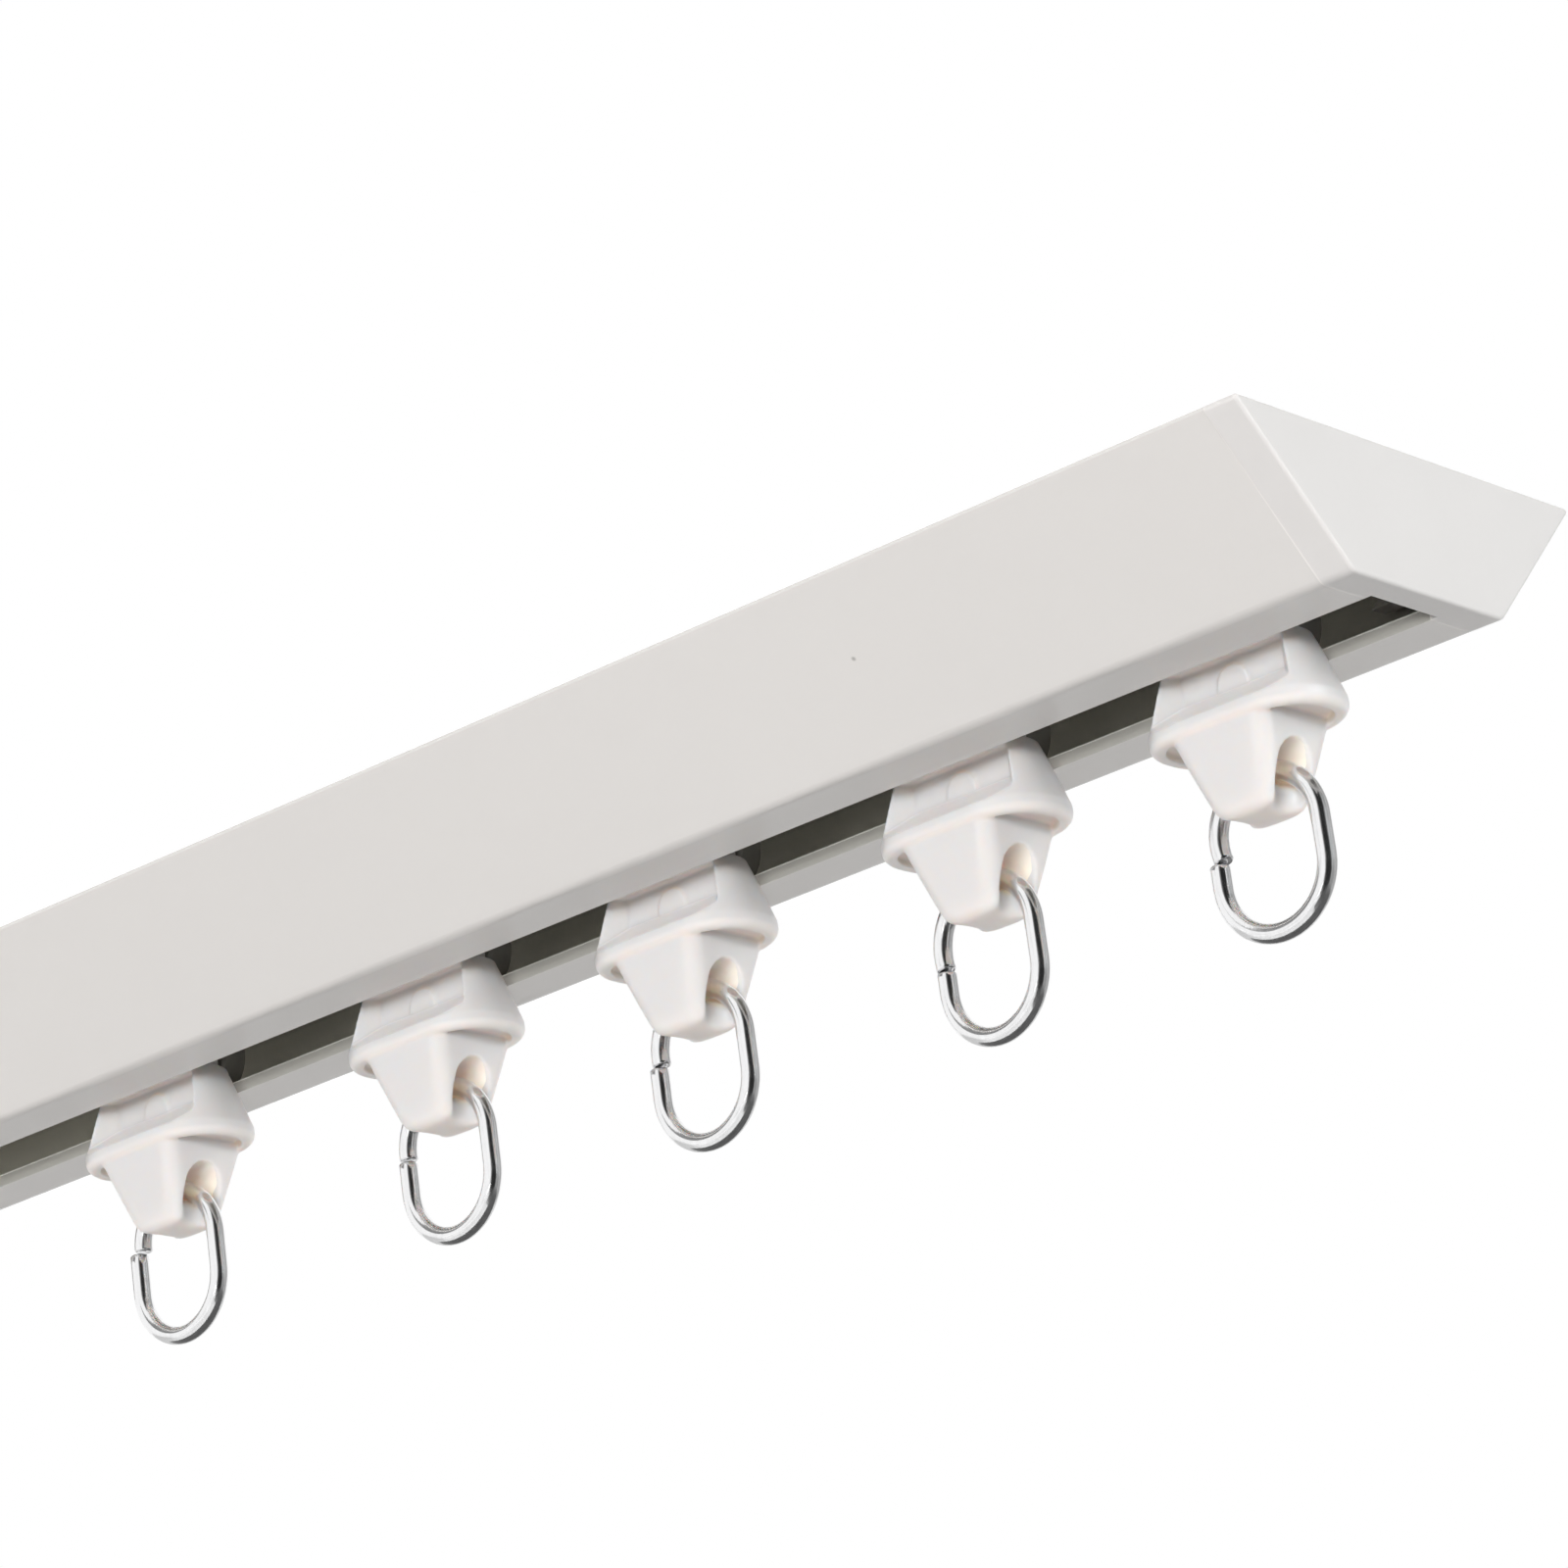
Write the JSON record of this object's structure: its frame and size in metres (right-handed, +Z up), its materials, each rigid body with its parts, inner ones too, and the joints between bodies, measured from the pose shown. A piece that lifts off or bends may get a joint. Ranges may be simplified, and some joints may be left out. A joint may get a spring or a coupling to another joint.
{
  "type": "curtain track",
  "caption": "Ceiling curtain track: slotted rail of inverted trapezoid section with end caps and wheeled gliders, each carrying an oval wire ring for a curtain hook.",
  "frame": {"origin": "centre of the rail's flat top face, which goes against the ceiling", "axes": "+X along the rail, +Z up into the ceiling, front at -Y"},
  "size_m": [0.2, 0.0402, 0.0315],
  "materials": {
    "rail_paint": "off-white satin paint",
    "cap_plastic": "smooth off-white",
    "glider_plastic": "moulded white",
    "wheel_plastic": "moulded grey",
    "axle_steel": "bright drawn wire",
    "ring_steel": "polished nickel plate"
  },
  "bodies": {
    "track": {"rail": "rail_paint", "right_end_cap": "cap_plastic", "left_end_cap": "cap_plastic"},
    "glider_1": {"glider_body_1": "glider_plastic"},
    "wheels_1": {"wheel_axle_1": "axle_steel", "front_wheel_1": "wheel_plastic", "rear_wheel_1": "wheel_plastic"},
    "ring_body_1": {"ring_1": "ring_steel"},
    "glider_2": {"glider_body_2": "glider_plastic"},
    "wheels_2": {"wheel_axle_2": "axle_steel", "front_wheel_2": "wheel_plastic", "rear_wheel_2": "wheel_plastic"},
    "ring_body_2": {"ring_2": "ring_steel"},
    "glider_3": {"glider_body_3": "glider_plastic"},
    "wheels_3": {"wheel_axle_3": "axle_steel", "front_wheel_3": "wheel_plastic", "rear_wheel_3": "wheel_plastic"},
    "ring_body_3": {"ring_3": "ring_steel"},
    "glider_4": {"glider_body_4": "glider_plastic"},
    "wheels_4": {"wheel_axle_4": "axle_steel", "front_wheel_4": "wheel_plastic", "rear_wheel_4": "wheel_plastic"},
    "ring_body_4": {"ring_4": "ring_steel"},
    "glider_5": {"glider_body_5": "glider_plastic"},
    "wheels_5": {"wheel_axle_5": "axle_steel", "front_wheel_5": "wheel_plastic", "rear_wheel_5": "wheel_plastic"},
    "ring_body_5": {"ring_5": "ring_steel"}
  },
  "joints": [
    {"name": "slide_1", "type": "slide", "parent": "track", "child": "glider_1", "axis": [1, 0, 0], "range_m": [-0.06165, 0.0149]},
    {"name": "wheel_spin_1", "type": "hinge", "parent": "glider_1", "child": "wheels_1", "pos_m": [-0.0293, 0, -0.00675], "axis": [0, 1, 0], "continuous": true},
    {"name": "ring_swing_1", "type": "hinge", "parent": "glider_1", "child": "ring_body_1", "pos_m": [-0.0293, 0, -0.01875], "axis": [1, 0, 0], "range_deg": [-28, 28]},
    {"name": "slide_2", "type": "slide", "parent": "track", "child": "glider_2", "axis": [1, 0, 0], "range_m": [-0.0149, 0.0111]},
    {"name": "wheel_spin_2", "type": "hinge", "parent": "glider_2", "child": "wheels_2", "pos_m": [0.0014, 0, -0.00675], "axis": [0, 1, 0], "continuous": true},
    {"name": "ring_swing_2", "type": "hinge", "parent": "glider_2", "child": "ring_body_2", "pos_m": [0.0014, 0, -0.01875], "axis": [1, 0, 0], "range_deg": [-28, 28]},
    {"name": "slide_3", "type": "slide", "parent": "track", "child": "glider_3", "axis": [1, 0, 0], "range_m": [-0.0111, 0.0134]},
    {"name": "wheel_spin_3", "type": "hinge", "parent": "glider_3", "child": "wheels_3", "pos_m": [0.0283, 0, -0.00675], "axis": [0, 1, 0], "continuous": true},
    {"name": "ring_swing_3", "type": "hinge", "parent": "glider_3", "child": "ring_body_3", "pos_m": [0.0283, 0, -0.01875], "axis": [1, 0, 0], "range_deg": [-28, 28]},
    {"name": "slide_4", "type": "slide", "parent": "track", "child": "glider_4", "axis": [1, 0, 0], "range_m": [-0.0134, 0.0097]},
    {"name": "wheel_spin_4", "type": "hinge", "parent": "glider_4", "child": "wheels_4", "pos_m": [0.0575, 0, -0.00675], "axis": [0, 1, 0], "continuous": true},
    {"name": "ring_swing_4", "type": "hinge", "parent": "glider_4", "child": "ring_body_4", "pos_m": [0.0575, 0, -0.01875], "axis": [1, 0, 0], "range_deg": [-28, 28]},
    {"name": "slide_5", "type": "slide", "parent": "track", "child": "glider_5", "axis": [1, 0, 0], "range_m": [-0.0097, 0.00795]},
    {"name": "wheel_spin_5", "type": "hinge", "parent": "glider_5", "child": "wheels_5", "pos_m": [0.083, 0, -0.00675], "axis": [0, 1, 0], "continuous": true},
    {"name": "ring_swing_5", "type": "hinge", "parent": "glider_5", "child": "ring_body_5", "pos_m": [0.083, 0, -0.01875], "axis": [1, 0, 0], "range_deg": [-28, 28]}
  ],
  "couplings": [
    {"joint": "wheel_spin_1", "follows": "slide_1", "rad_per_m": 312.5},
    {"joint": "wheel_spin_2", "follows": "slide_2", "rad_per_m": 312.5},
    {"joint": "wheel_spin_3", "follows": "slide_3", "rad_per_m": 312.5},
    {"joint": "wheel_spin_4", "follows": "slide_4", "rad_per_m": 312.5},
    {"joint": "wheel_spin_5", "follows": "slide_5", "rad_per_m": 312.5}
  ]
}
